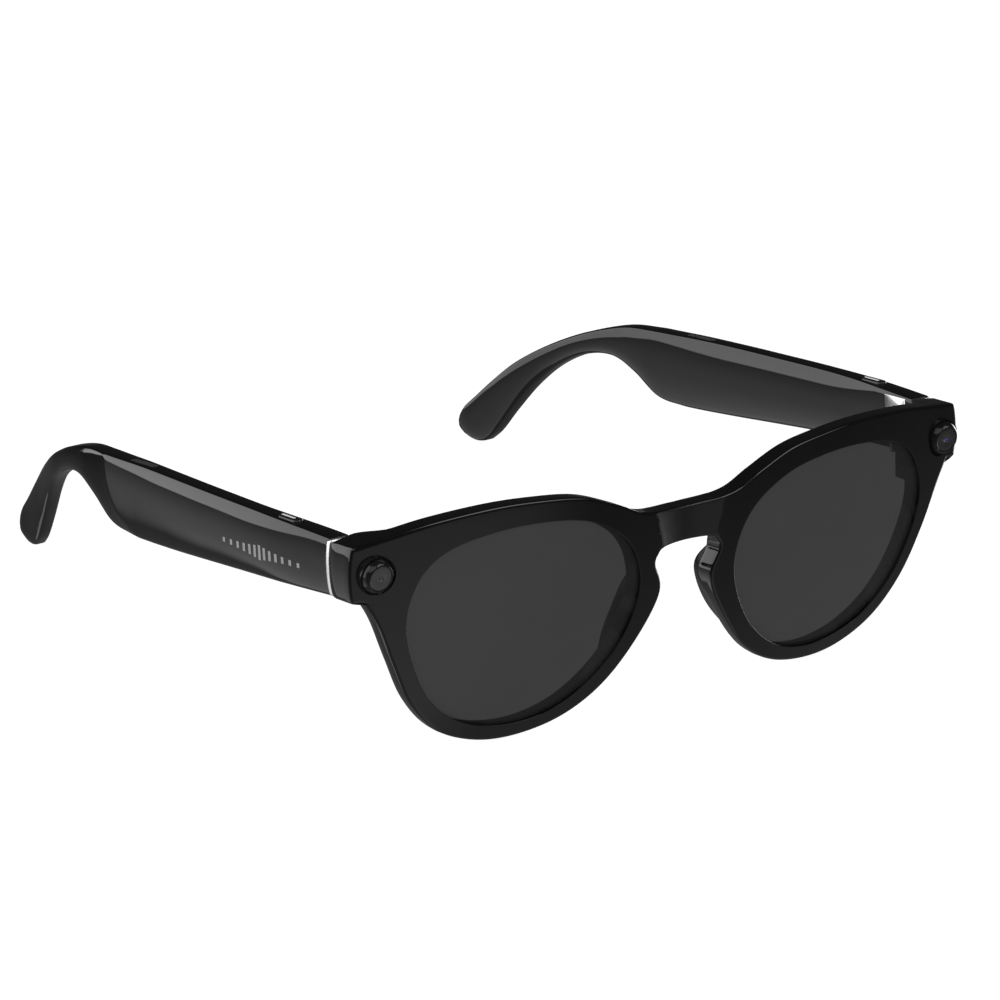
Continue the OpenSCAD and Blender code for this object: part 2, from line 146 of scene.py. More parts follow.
class Bench:
    """Shapes pieces with edit-mode operators and modifiers."""

    @staticmethod
    def clear() -> None:
        """Leaves edit mode and deselects everything."""
        if bpy.context.object and bpy.context.object.mode != "OBJECT":
            bpy.ops.object.mode_set(mode="OBJECT")
        bpy.ops.object.select_all(action="DESELECT")

    @staticmethod
    def pick(piece: bpy.types.Object) -> None:
        """Makes one piece the only selected and active object."""
        Bench.clear()
        piece.select_set(True)
        bpy.context.view_layer.objects.active = piece

    @staticmethod
    def loft(name: str, rings: Sequence[Ring], loop: bool = False,
             caps: bool = True) -> bpy.types.Object:
        """Draws a skin over rings of points by extruding the first ring to each next one.

        Args:
            name: The new piece's name.
            rings: Rings with the same number of points each.
            loop: Whether the last ring is bridged to the first.
            caps: Whether the first and the last ring are filled.

        Returns:
            The new piece, in edit units of the worn frame.
        """
        Bench.clear()
        bpy.ops.mesh.primitive_circle_add(vertices=len(rings[0]), radius=1, fill_type="NOTHING")
        piece = bpy.context.object
        piece.name = piece.data.name = name
        for vertex, point in zip(piece.data.vertices, rings[0]):
            vertex.co = point
        bpy.ops.object.mode_set(mode="EDIT")
        bpy.ops.mesh.select_mode(type="EDGE")
        bpy.ops.mesh.select_all(action="SELECT")
        for ring in rings[1:]:
            bpy.ops.mesh.extrude_edges_move()
            shape = bmesh.from_edit_mesh(piece.data)
            shape.verts.ensure_lookup_table()
            for vertex, point in zip(shape.verts[-len(ring):], ring):
                vertex.co = point
        bmesh.update_edit_mesh(piece.data)
        if loop:
            Bench.select_rims()
            bpy.ops.mesh.bridge_edge_loops()
        elif caps:
            Bench.select_rims()
            Bench.fill_rims(piece)
        bpy.ops.mesh.select_all(action="SELECT")
        bpy.ops.mesh.normals_make_consistent(inside=False)
        bpy.ops.object.mode_set(mode="OBJECT")
        return piece

    @staticmethod
    def select_rims() -> None:
        """Selects the open edges of the mesh in edit mode."""
        bpy.ops.mesh.select_all(action="DESELECT")
        bpy.ops.mesh.select_non_manifold(extend=False, use_wire=False, use_multi_face=False,
                                         use_non_contiguous=False, use_verts=False)

    @staticmethod
    def fill_rims(piece: bpy.types.Object) -> None:
        """Closes each open rim with one face."""
        shape = bmesh.from_edit_mesh(piece.data)
        bmesh.ops.holes_fill(shape, edges=[e for e in shape.edges if e.is_boundary], sides=0)
        bmesh.update_edit_mesh(piece.data)

    @staticmethod
    def modify(piece: bpy.types.Object, kind: str, **settings: object) -> bpy.types.Object:
        """Adds one modifier with its settings and applies it.

        Args:
            piece: The piece to change.
            kind: The modifier's type.
            settings: The modifier's own settings.

        Returns:
            The piece.
        """
        Bench.pick(piece)
        modifier = piece.modifiers.new(kind.title(), kind)
        for name, value in settings.items():
            setattr(modifier, name, value)
        bpy.ops.object.modifier_apply(modifier=modifier.name)
        return piece

    @staticmethod
    def bevel(piece: bpy.types.Object, width: float, segments: int = 3,
              angle: float = 30) -> bpy.types.Object:
        """Rounds the edges that are sharper than an angle.

        Args:
            piece: The piece to round.
            width: The width of the rounding.
            segments: How many faces the rounding has.
            angle: The angle, in degrees.

        Returns:
            The piece.
        """
        return Bench.modify(piece, "BEVEL", width=width, segments=segments,
                            limit_method="ANGLE", angle_limit=math.radians(angle))

    @staticmethod
    def join(name: str, pieces: Sequence[bpy.types.Object]) -> bpy.types.Object:
        """Makes several pieces one object.

        Args:
            name: The joined piece's name.
            pieces: The pieces; the first one takes the others in.

        Returns:
            The joined piece.
        """
        Bench.pick(pieces[0])
        for piece in pieces:
            piece.select_set(True)
        bpy.ops.object.join()
        joined = bpy.context.object
        joined.name = joined.data.name = name
        return joined

    @staticmethod
    def mirrored(piece: bpy.types.Object, side: Side) -> bpy.types.Object:
        """Reflects a piece shaped for the left side if the side is the right.

        Args:
            piece: The piece, as shaped for the left side.
            side: The side it is for.

        Returns:
            The piece.
        """
        if side is Side.RIGHT:
            piece.data.transform(Matrix.Scale(-1, 4, (1, 0, 0)))
            piece.data.flip_normals()
        return piece

    @staticmethod
    def slab(name: str, low: Point, high: Point, round_off: float) -> bpy.types.Object:
        """A box between two corners with rounded edges.

        Args:
            name: The new piece's name.
            low: The corner with the smallest x, y and z.
            high: The corner with the largest.
            round_off: The width of the rounding.

        Returns:
            The box.
        """
        Bench.clear()
        centre = (Vector(low) + Vector(high)) / 2
        bpy.ops.mesh.primitive_cube_add(size=1)
        piece = bpy.context.object
        piece.name = piece.data.name = name
        size = Vector(high) - Vector(low)
        piece.data.transform(Matrix.Translation(centre) @ Matrix.Diagonal((*size, 1)))
        return Bench.bevel(piece, round_off)

    @staticmethod
    def turned(name: str, profile: Sequence[Point], place: Matrix,
               segments: int = 64, loop: bool = False) -> bpy.types.Object:
        """A turned piece: circles stacked along z, then placed.

        Args:
            name: The new piece's name.
            profile: The radius and height of each circle.
            place: The piece's own frame in the worn frame.
            segments: How many sides each circle has.
            loop: Whether the profile is closed, which makes a ring.

        Returns:
            The turned piece.
        """
        circle = [(math.cos(a), math.sin(a)) for a in
                  (2 * math.pi * i / segments for i in range(segments))]
        rings = [[(r * c, r * s, h) for c, s in circle] for r, h in profile]
        piece = Bench.loft(name, rings, loop)
        piece.data.transform(place)
        return piece

    @staticmethod
    def cut(piece: bpy.types.Object, tool: bpy.types.Object) -> bpy.types.Object:
        """Cuts a tool's shape out of a piece and throws the tool away.

        Args:
            piece: The piece that is cut.
            tool: The shape that is taken out.

        Returns:
            The piece.
        """
        Bench.modify(piece, "BOOLEAN", operation="DIFFERENCE", object=tool, solver="EXACT")
        bpy.data.objects.remove(tool)
        return piece

    @staticmethod
    def pill(name: str, half_long: float, half_wide: float, low: float, high: float,
             round_off: float = 0.0) -> bpy.types.Object:
        """A pill lying along y with its upper rim rounded off.

        Args:
            name: The new piece's name.
            half_long: Half its length.
            half_wide: Half its width, which is the radius of its ends.
            low: The z of its underside.
            high: The z of its top.
            round_off: Radius of the upper rim.

        Returns:
            The pill.
        """
        steps = 12
        flat = half_long - half_wide
        outline = []
        for turn, centre in enumerate((flat, -flat)):
            for i in range(steps + 1):
                a = math.pi * (turn + i / steps)
                outline.append((math.cos(a), math.sin(a), centre))

        def ring(inset: float, height: float) -> Ring:
            """The outline drawn in by an inset, at a height."""
            reach = half_wide - inset
            return [(c * reach, m + s * reach, height) for c, s, m in outline]

        rings = [ring(0, low), ring(0, high - round_off)]
        if round_off:
            for degrees in (22.5, 45, 67.5, 90):
                a = math.radians(degrees)
                rings.append(ring(round_off * (1 - math.cos(a)),
                                  high - round_off * (1 - math.sin(a))))
        return Bench.loft(name, rings)

    @staticmethod
    def refined(node: str, name: str, round_off: float) -> bpy.types.Object:
        """A copy of a machined part with its loose faces merged and its edges broken.

        Args:
            node: The part in the frame.
            name: The copy's name.
            round_off: Width of the broken edges in millimetres.

        Returns:
            The copy, back in the worn frame.
        """
        mesh = frame["nodes"][node].data.copy()
        mesh.transform(STAND.matrix.inverted())
        piece = bpy.data.objects.new(name, mesh)
        bpy.context.scene.collection.objects.link(piece)
        Bench.pick(piece)
        bpy.ops.object.mode_set(mode="EDIT")
        bpy.ops.mesh.select_all(action="SELECT")
        bpy.ops.mesh.remove_doubles(threshold=0.001)
        bpy.ops.mesh.dissolve_limited(angle_limit=math.radians(1))
        bpy.ops.object.mode_set(mode="OBJECT")
        return Bench.bevel(piece, round_off, 2, 40) if round_off else piece

    @staticmethod
    def finish(piece: bpy.types.Object, edge: Edge, material: bpy.types.Material, slot: str,
               body: str, *nodes: str) -> bpy.types.Object:
        """Stands a piece on the table, shades it, dresses it and ties it to its body.

        Args:
            piece: The piece, shaped in the worn frame.
            edge: How its shading breaks.
            material: Its finish.
            slot: The record's material slot; not used.
            body: The body it rides on.
            nodes: The CAD nodes it stands for.

        Returns:
            The piece.
        """
        piece.data.transform(STAND.matrix)
        if not piece.data.materials:
            piece.data.materials.append(material)
        Bench.pick(piece)
        bpy.ops.object.shade_smooth_by_angle(angle=math.radians(edge.value))
        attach(piece, body)
        if nodes:
            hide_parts(*nodes)
        LOG.info("%s: %d faces on %s", piece.name, len(piece.data.polygons), body)
        return piece


# ---- finishes --------------------------------------------------------------------------


@dataclass(frozen=True)
class Finish:
    """A surface finish, built as one procedural material.

    Attributes:
        name: The finish in a maker's words.
        colour: Its base colour, linear.
        roughness: The mean roughness.
        metal: How metallic it is.
        coat: Weight of a clear polished coat.
        mottle: How far the roughness wanders over the surface.
        grain: Height of the fine surface relief, in metres.
        grain_size: Detail of that relief, in features per metre.
        mottle_size: Detail of the wandering colour and roughness, in features per metre.
        alpha: How much light it stops.
        speck: How far the colour wanders, as a share of itself.
        shine: How strongly it mirrors; half is usual for plastic and glass.
    """

    name: str
    colour: tuple[float, float, float]
    roughness: float
    metal: float = 0.0
    coat: float = 0.0
    mottle: float = 0.03
    grain: float = 0.0
    grain_size: float = 900.0
    mottle_size: float = 140.0
    alpha: float = 1.0
    speck: float = 0.15
    shine: float = 0.5

    def material(self) -> bpy.types.Material:
        """Returns the finish's material, making it the first time."""
        found = bpy.data.materials.get(self.name)
        return found or self.build()

    def build(self) -> bpy.types.Material:
        """Makes the node material: mottled colour and roughness, and a fine relief.

        Returns:
            The material.
        """
        made = bpy.data.materials.new(self.name)
        made.use_nodes = True
        nodes, links = made.node_tree.nodes, made.node_tree.links
        shader = nodes["Principled BSDF"]
        shader.inputs["Metallic"].default_value = self.metal
        shader.inputs["Coat Weight"].default_value = self.coat
        shader.inputs["Coat Roughness"].default_value = 0.02
        shader.inputs["Alpha"].default_value = self.alpha
        shader.inputs["Specular IOR Level"].default_value = self.shine
        place = nodes.new("ShaderNodeTexCoord")
        cloud = self.noise(nodes, links, place, self.mottle_size)
        tint = nodes.new("ShaderNodeMix")
        tint.data_type = "RGBA"
        tint.inputs["A"].default_value = (*(c * (1 - self.speck) for c in self.colour), 1)
        tint.inputs["B"].default_value = (*(c * (1 + self.speck) for c in self.colour), 1)
        links.new(cloud.outputs["Fac"], tint.inputs["Factor"])
        links.new(tint.outputs["Result"], shader.inputs["Base Color"])
        polish = nodes.new("ShaderNodeMapRange")
        polish.inputs["To Min"].default_value = max(self.roughness - self.mottle, 0.0)
        polish.inputs["To Max"].default_value = self.roughness + self.mottle
        links.new(cloud.outputs["Fac"], polish.inputs["Value"])
        links.new(polish.outputs["Result"], shader.inputs["Roughness"])
        if self.grain:
            relief = self.noise(nodes, links, place, self.grain_size)
            bump = nodes.new("ShaderNodeBump")
            bump.inputs["Strength"].default_value = 1.0
            bump.inputs["Distance"].default_value = self.grain
            links.new(relief.outputs["Fac"], bump.inputs["Height"])
            links.new(bump.outputs["Normal"], shader.inputs["Normal"])
        return made

    @staticmethod
    def noise(nodes: bpy.types.Nodes, links: bpy.types.NodeLinks,
              place: bpy.types.Node, scale: float) -> bpy.types.Node:
        """Adds a noise texture on the object's own coordinates.

        Args:
            nodes: The material's nodes.
            links: The material's links.
            place: The texture coordinate node.
            scale: The detail, in features per metre.

        Returns:
            The noise node.
        """
        made = nodes.new("ShaderNodeTexNoise")
        made.inputs["Scale"].default_value = scale
        made.inputs["Detail"].default_value = 3.0
        links.new(place.outputs["Object"], made.inputs["Vector"])
        return made


SATIN_PANEL = Finish("satin_bridge_panel", (0.0045, 0.0045, 0.0048), 0.36, grain=2e-7)
GLOSS_BLACK = Finish("polished_black", (0.0045, 0.0045, 0.0048), 0.05, mottle=0.015, grain=2e-7)
PAD_BLACK = Finish("polished_black_pads", (0.005, 0.005, 0.0053), 0.1, grain=4e-7)
SUN_TINT = Finish("sun_tint", (0.0155, 0.0155, 0.016), 0.04, mottle=0.01, alpha=0.83, shine=0.12)
BEZEL = Finish("black_anodised_bezel", (0.02, 0.02, 0.022), 0.12, metal=0.6, grain=3e-7)
DARK_GLASS = Finish("coated_dark_glass", (0.014, 0.014, 0.015), 0.28, coat=0.15, mottle=0.02)
GREY_GLASS = Finish("smoked_grey_glass", (0.036, 0.036, 0.037), 0.25, coat=0.2, speck=0.05)
VIOLET_COAT = Finish("violet_lens_coating", (0.05, 0.04, 0.3), 0.08, metal=0.3, coat=1.0)
INNER_BLACK = Finish("matt_inner_black", (0.003, 0.003, 0.003), 0.6, grain=4e-6)
SATIN_BLACK = Finish("satin_black_cover", (0.0055, 0.0055, 0.006), 0.16, grain=8e-7)
RING_SILVER = Finish("plated_ring", (0.95, 0.95, 0.96), 0.42, metal=1.0, mottle=0.04, speck=0.03)
HINGE_STEEL = Finish("polished_hinge_steel", (0.8, 0.8, 0.82), 0.14, metal=1.0, grain=4e-7)
SCREW_STEEL = Finish("screw_steel", (0.6, 0.6, 0.62), 0.25, metal=1.0, grain=8e-7)
MARK_GREY = Finish("light_grey_inlay", (0.3, 0.3, 0.31), 0.35, metal=0.2)
BUTTON_BLACK = Finish("button_black", (0.012, 0.012, 0.0125), 0.12, grain=4e-7)
# Painted highlight: a near-white bar on the button that stands in for light reflected off its top.
BUTTON_PAINTED_HIGHLIGHT = Finish("painted_button_highlight", (0.95, 0.95, 0.96), 0.3, metal=0.2)
SOUND_MESH = Finish("woven_sound_mesh", (0.055, 0.055, 0.056), 0.45, metal=0.2, grain=3e-6)
GOLD = Finish("gold_contacts", (0.85, 0.6, 0.22), 0.2, metal=1.0)
BOARD_GREEN = Finish("green_solder_mask", (0.01, 0.08, 0.04), 0.35, grain=3e-6)
FLEX_AMBER = Finish("amber_film", (0.28, 0.11, 0.02), 0.3)
BATTERY_WRAP = Finish("battery_wrap", (0.06, 0.13, 0.3), 0.3, grain=5e-6)
SPEAKER_GREY = Finish("speaker_case", (0.06, 0.06, 0.065), 0.5, grain=4e-6)
CAN_SILVER = Finish("component_can", (0.6, 0.6, 0.62), 0.3, metal=1.0)
CORE_STEEL = Finish("spring_steel_core", (0.4, 0.4, 0.42), 0.35, metal=1.0)


# ---- the front -------------------------------------------------------------------------


@dataclass
class Front:
    """The front frame with its lenses, nose pads and endpieces.

    Attributes:
        depth: Depth of the frame from face to back.
        end_back: Back plane of the endpieces.
        face_round: Radius of the face's outer edge.
        back_round: How far in the back's outer edge is rounded, on the brow and the rim.
        back_fall: How far forward that rounding reaches, on the brow and the rim.
        lip_round: Radius of the edge round each lens.
        panel_edge: Half the width of the hollow panel on the bridge, at z = 0 and what
            each mm of z adds.
        panel_depth: How deep that panel is in its middle.
        lens_set: Depth from the face to the front of the lenses.
        lens_depth: Thickness of the lenses.
        lens_groove: The lens's size over that of the opening.
        wrap: How the face curves with x: its square, its fourth power and its spine.
        blunt: How far the spine of the face is blunted at the bridge.
        lean: How the face curves with z: straight and squared.
        opening: The lens opening from above the nose, over the top: x and z.
        brow: The outer edge along the top: x, z and the place on the opening it faces.
        side: The same round the endpiece's outer side.
        foot: The same under the endpiece.
        rim: The same from the endpiece round the lens to the middle of the bridge.
        middle_steps: Shares of the bridge's height at which its middle has a point.
        nose: Places on the opening between which the back edge is square.
        pads: The nose pad's sections: z, root x, tip x, tip y and half the thickness.
        pad_sides: How many sides each section of the pad has.
        pad_belly: How far the pad's middle stands proud towards the nose.
    """

    depth: float = 4.8
    end_back: float = 14.5
    face_round: float = 0.52
    back_round: Point = (0.8, 1.6)
    back_fall: Point = (0.8, 3.2)
    lip_round: float = 0.12
    panel_edge: Point = (9.3, 0.25)
    panel_depth: float = 0.75
    lens_set: float = 0.85
    lens_depth: float = 2.0
    lens_groove: float = 1.012
    wrap: Point = (3.41e-3, 0.83e-7, 0.1205)
    blunt: float = 3.0
    lean: Point = (0.017, 4.64e-3)
    opening: tuple[Point, ...] = (
        (15.5, -8.3), (23.5, -3.3), (33, -1.4), (44, -1.4), (54.5, -3.6), (60.5, -9),
        (62.3, -18.5), (57.2, -31.8), (49, -39.4), (38, -42.3), (27, -40.4), (18, -33.7),
        (12.6, -24.5), (11.7, -16))
    brow: tuple[Point, ...] = (
        (0, -5, -0.1), (6, -4.7, 0.05), (11.5, -3.8, 0.3), (17, -1.2, 0.65),
        (25, 1.8, 1.3), (34, 3, 2.1), (44, 3.4, 3), (56, 2.7, 4.05), (66, 1.2, 4.7),
        (72.8, 0.1, 5.05))
    side: tuple[Point, ...] = (
        (72.8, 0.1, 5.05), (73.22, -0.45, 5.1), (73.62, -2.4, 5.2), (73.85, -5.2, 5.28),
        (73.75, -8, 5.36), (73.4, -10.3, 5.45), (72.9, -10.9, 5.48))
    foot: tuple[Point, ...] = ((72.9, -10.9, 5.48), (71, -10.95, 5.55), (70.4, -11.5, 5.58))
    rim: tuple[Point, ...] = (
        (70.4, -11.5, 5.58), (68, -15.8, 5.85), (64.6, -24, 6.45), (60, -33.4, 7.15),
        (53.5, -40.5, 7.9), (45, -44.4, 8.5), (36, -45.3, 9.15), (26, -43.4, 10.05),
        (17.5, -38.3, 10.9), (10.5, -29.8, 11.7), (6.05, -21.1, 12.5), (7.7, -15.3, 13.1),
        (7.1, -13.2, 13.4), (5.6, -12.2, 13.55), (0, -12.05, 13.68))
    middle_steps: tuple[float, ...] = (
        0.02, 0.05, 0.1, 0.2, 0.35, 0.5, 0.65, 0.8, 0.9, 0.95, 0.98)
    nose: Point = (11.9, 12.5, 13.2, 13.5)
    pads: tuple[Point, ...] = (
        (-13.5, 7.5, 7.8, 3.2, 0.4), (-14.5, 7.7, 8.0, 4.2, 0.5), (-16.1, 7.6, 8.1, 6.4, 0.7),
        (-18.2, 6.9, 8.5, 8.9, 0.9), (-20.3, 6.2, 9.0, 10.5, 1.0), (-23, 6.6, 9.9, 11.4, 1.05),
        (-26.5, 8.5, 11.4, 12.0, 1.05), (-30, 10.7, 13.2, 12.0, 0.95),
        (-33, 12.9, 15.0, 11.0, 0.8), (-35.5, 15.0, 16.4, 9.5, 0.5))
    pad_sides: int = 32
    pad_belly: float = 0.35

    def face(self, x: np.ndarray | float, z: np.ndarray | float) -> np.ndarray | float:
        """The y of the curved face, wrapped sideways and tilted at the foot.

        Args:
            x: Where to read it, sideways.
            z: Where to read it, up.

        Returns:
            The face's y there.
        """
        square, fourth, spine_lean = self.wrap
        spine = np.sqrt(x * x + self.blunt * self.blunt) - self.blunt
        curve = square * x * x - fourth * x ** 4 - spine_lean * spine
        panel = self.panel_depth * np.clip(1 - (x / self.panel_half(z)) ** 2, 0, None)
        return curve + panel - self.lean[0] * z + self.lean[1] * z * z

    def panel_half(self, z: np.ndarray | float) -> np.ndarray | float:
        """Half the width of the bridge panel at a height z."""
        across, lean = self.panel_edge
        return np.maximum(across + lean * z, 3.0)

    def columns(self) -> tuple[np.ndarray, np.ndarray, np.ndarray, np.ndarray]:
        """Pairs each point of the outer edge with one of the opening.

        Returns:
            The outer points, the opening's points, how much of the endpiece's block stands
            behind each pair, and how square the back edge is there.
        """
        rows: list[np.ndarray] = []
        block: list[float] = []
        for part, steps, has_block in ((self.brow, 8, True), (self.side, 4, True),
                                       (self.foot, 6, True), (self.rim, 9, False)):
            last = len(part) - 1
            for place in (i / steps for i in range(last * steps)):
                rows.append(bend(part, place))
                fade = 1 - ease(0.02, 0.12, place) if part is self.rim else 1.0
                block.append(1.0 if has_block else fade)
        low, high = np.array(self.rim[-1], float), np.array([*self.brow[0][:2], 13.9])
        rows.append(low)
        block.append(0.0)
        for step in self.middle_steps:
            rows.append(low + (high - low) * step)
            block.append(0.0)
        outer = np.array([r[:2] for r in rows])
        inner = np.array([bend(self.opening, r[2], closed=True) for r in rows])
        start, full, fade, end = self.nose
        nose = [ease(start, full, r[2]) * (1 - ease(fade, end, r[2])) for r in rows]
        return outer, inner, np.array(block), np.maximum(block, nose)

    def edge_gap(self, points: np.ndarray) -> np.ndarray:
        """Distance of flat points from the outer edge, leaving the middle line out.

        Args:
            points: The x and z of each point.

        Returns:
            The distance of each point.
        """
        line = np.array([bend(part, i / 12)[:2] for part in
                         (self.brow, self.side, self.foot, self.rim)
                         for i in range((len(part) - 1) * 12 + 1)])
        start, run = line[:-1], np.diff(line, axis=0)
        size = np.maximum((run ** 2).sum(1), 1e-12)
        off = points[:, None] - start
        t = np.clip((off * run).sum(2) / size, 0, 1)
        return np.sqrt(((off - t[..., None] * run) ** 2).sum(2).min(1))

    def back(self, x: np.ndarray, z: np.ndarray, block: np.ndarray) -> np.ndarray:
        """The y of the frame's back, deeper where an endpiece's block stands.

        Args:
            x: Where to read it, sideways.
            z: Where to read it, up.
            block: How much of the endpiece's block stands there.

        Returns:
            The back's y there.
        """
        plain = self.face(x, z) + self.depth
        slope = ease(-4.5, -0.5, z)
        stand = ease(0, 1, (x - 59.6 - 3.4 * slope) / (4 + 1.8 * slope))
        return plain + (self.end_back - plain) * block * stand

    @staticmethod
    def rounding(gap: np.ndarray, radius: float | np.ndarray,
                 fall: float | np.ndarray | None = None) -> np.ndarray:
        """How far a rounded edge falls away at a distance from that edge.

        Args:
            gap: The distance from the edge.
            radius: How far in from the edge the rounding starts.
            fall: How deep it falls in all, if that is not the radius.

        Returns:
            The fall at that distance.
        """
        short = np.clip(1 - gap / radius, 0, 1)
        return (radius if fall is None else fall) * (1 - np.sqrt(1 - short ** 2))

    def rings(self) -> list[Ring]:
        """The rings of one half: over the face, round the outer edge and along the back.

        Returns:
            The rings, from the opening's front lip to its back lip.
        """
        outer, inner, block, square = self.columns()
        run = outer - inner
        length = np.linalg.norm(run, axis=1)
        unit = run / length[:, None]
        tangent = np.roll(outer, -1, 0) - np.roll(outer, 1, 0)
        tangent /= np.maximum(np.linalg.norm(tangent, axis=1), 1e-9)[:, None]
        lean = np.clip(np.abs(unit[:, 0] * tangent[:, 1] - unit[:, 1] * tangent[:, 0]), 0.16, 1)
        lip = np.full_like(length, self.lip_round)
        back_round = self.back_round[1] + (self.back_round[0] - self.back_round[1]) * square
        back_fall = self.back_fall[1] + (self.back_fall[0] - self.back_fall[1]) * square
        rings: list[Ring] = []

        def add(reach: np.ndarray, from_face: bool, share: float | None = None) -> None:
            """Adds one ring.

            Args:
                reach: How far each of its points stands off the opening.
                from_face: Whether it lies on the face and not on the back.
                share: Where it lies from the face to the back, if on neither.
            """
            flat = inner + unit * reach[:, None]
            x, z = flat[:, 0], flat[:, 1]
            gap, near = self.edge_gap(flat), reach
            front = (self.face(x, z) + self.rounding(gap, self.face_round)
                     + self.rounding(near, self.lip_round))
            rear = (self.back(x, z, block) - self.rounding(gap, back_round, back_fall)
                    - self.rounding(near, self.lip_round))
            y = front if from_face else rear
            if share is not None:
                y = front + (rear - front) * share
            rings.append(list(zip(x, y, z)))

        corner = [math.sin(math.radians(a)) for a in (0, 22, 45, 67, 90)]
        face_edge = np.minimum(self.face_round / lean, length * 0.4)
        back_edge = np.minimum(back_round / lean, length * 0.6)
        for s in (1 - c for c in reversed(corner)):
            add(lip * s, True)
        steps = np.array(
            [lip + (length - face_edge - lip) * s for s in spread(0, 1, 22)[1:-1]]
            + [length - face_edge * (1 - s) for s in corner[:-1]])
        self.follow_panel(steps, inner, unit)
        for reach in (*steps, length):
            add(reach, True)
        for share in (0.25, 0.5, 0.75):
            add(length, True, share)
        for s in reversed(corner):
            add(length - back_edge * (1 - s), False)
        for s in reversed(spread(0, 1, 14)[1:-1]):
            add(lip + (length - back_edge - lip) * s, False)
        for s in (1 - c for c in corner):
            add(lip * s, False)
        for share in (0.7, 0.35):
            add(lip * 0, True, share)
        return rings

    def follow_panel(self, steps: np.ndarray, inner: np.ndarray, unit: np.ndarray) -> None:
        """Moves the nearest point of each column onto the edge of the bridge panel.

        Args:
            steps: How far each ring's points stand off the opening; changed in place.
            inner: The opening's point of each column.
            unit: The direction of each column.
        """
        across, lean = self.panel_edge
        crossing = ((across + lean * inner[:, 1] - inner[:, 0])
                    / (unit[:, 0] - lean * unit[:, 1]))
        beside_nose = (inner[:, 0] < 20) & (inner[:, 1] > -20)
        on_bridge = (crossing > steps[0]) & (crossing < steps[-1]) & beside_nose
        nearest = np.abs(steps - crossing).argmin(0)
        for column in np.flatnonzero(on_bridge):
            steps[nearest[column], column] = crossing[column]

    def frame(self) -> bpy.types.Object:
        """Models one half, opens it at the middle and mirrors it.

        Returns:
            The moulding.
        """
        piece = Bench.loft("front_moulding", self.rings(), loop=True)
        bpy.ops.object.mode_set(mode="EDIT")
        bpy.ops.mesh.select_mode(type="FACE")
        bpy.ops.mesh.select_all(action="DESELECT")
        shape = bmesh.from_edit_mesh(piece.data)
        for face in shape.faces:
            face.select_set(all(abs(v.co.x) < 1e-4 for v in face.verts))
        bmesh.update_edit_mesh(piece.data)
        bpy.ops.mesh.delete(type="FACE")
        bpy.ops.object.mode_set(mode="OBJECT")
        Bench.modify(piece, "MIRROR", use_clip=True, merge_threshold=0.002)
        Bench.pick(piece)
        bpy.ops.object.mode_set(mode="EDIT")
        bpy.ops.mesh.select_all(action="SELECT")
        bpy.ops.mesh.remove_doubles(threshold=0.002)
        bpy.ops.mesh.normals_make_consistent(inside=False)
        bpy.ops.object.mode_set(mode="OBJECT")
        return piece

    def polish(self, piece: bpy.types.Object) -> None:
        """Dresses the moulding: polished all over, satin on the bridge panel.

        Args:
            piece: The moulding, in the worn frame.
        """
        piece.data.materials.clear()
        for finish in (GLOSS_BLACK, SATIN_PANEL):
            piece.data.materials.append(finish.material())
        for face in piece.data.polygons:
            x, _, z = face.center
            faces_out = face.normal.y < -0.7
            on_panel = abs(x) < self.panel_half(z) and z > -13
            face.material_index = int(faces_out and on_panel)

    def lens(self, side: Side) -> bpy.types.Object:
        """A lens whose edge sits in the frame's wall.

        Args:
            side: The side it is on.

        Returns:
            The lens.
        """
        around = np.array([bend(self.opening, i / 8, closed=True)
                           for i in range(len(self.opening) * 8)])
        centre = around.mean(0)
        rings: list[Ring] = []

        def add(scale: float, depth: float) -> None:
            """Adds a ring of the opening's shape at a scale and a depth."""
            flat = centre + (around - centre) * scale
            y = self.face(flat[:, 0], flat[:, 1]) + depth
            rings.append(list(zip(flat[:, 0], y, flat[:, 1])))

        scales = [0.04, 0.16, 0.32, 0.48, 0.64, 0.78, 0.9, 0.97, self.lens_groove]
        for scale in scales:
            add(scale, self.lens_set)
        for scale in reversed(scales):
            add(scale, self.lens_set + self.lens_depth)
        return Bench.mirrored(Bench.loft(f"tinted_lens_{side.word}", rings), side)

    def pad(self, side: Side) -> bpy.types.Object:
        """A moulded nose pad that flares back and out from the nose side of the rim.

        Args:
            side: The side it is on.

        Returns:
            The pad.
        """
        rings: list[Ring] = []
        for place in spread(0, len(self.pads) - 1, 30):
            z, rx, tx, ty, half = (float(v) for v in bend(self.pads, place))
            start = np.array([rx + half + 0.04, self.face(rx, z) + 1.3, z])
            end = np.array([tx, ty, z])
            axis = (end - start) / np.linalg.norm(end - start)
            across = np.array([axis[1], -axis[0], 0])
            across /= np.linalg.norm(across)
            middle, span = (start + end) / 2, np.linalg.norm(end - start) / 2
            ring = []
            for i in range(self.pad_sides):
                a = 2 * math.pi * i / self.pad_sides
                c, s = math.cos(a), math.sin(a)
                along = math.copysign(abs(c) ** 0.6, c) * span
                wide = math.copysign(abs(s) ** 0.7, s) * half
                belly = self.pad_belly * (1 - (along / span) ** 2)
                ring.append(tuple(middle + axis * along + across * (wide + belly)))
            rings.append(ring)
        piece = Bench.loft(f"moulded_nose_pad_{side.word}", rings)
        Bench.bevel(piece, 0.5, 3, 50)
        return Bench.mirrored(piece, side)


# ---- the round windows in the endpieces --------------------------------------------------


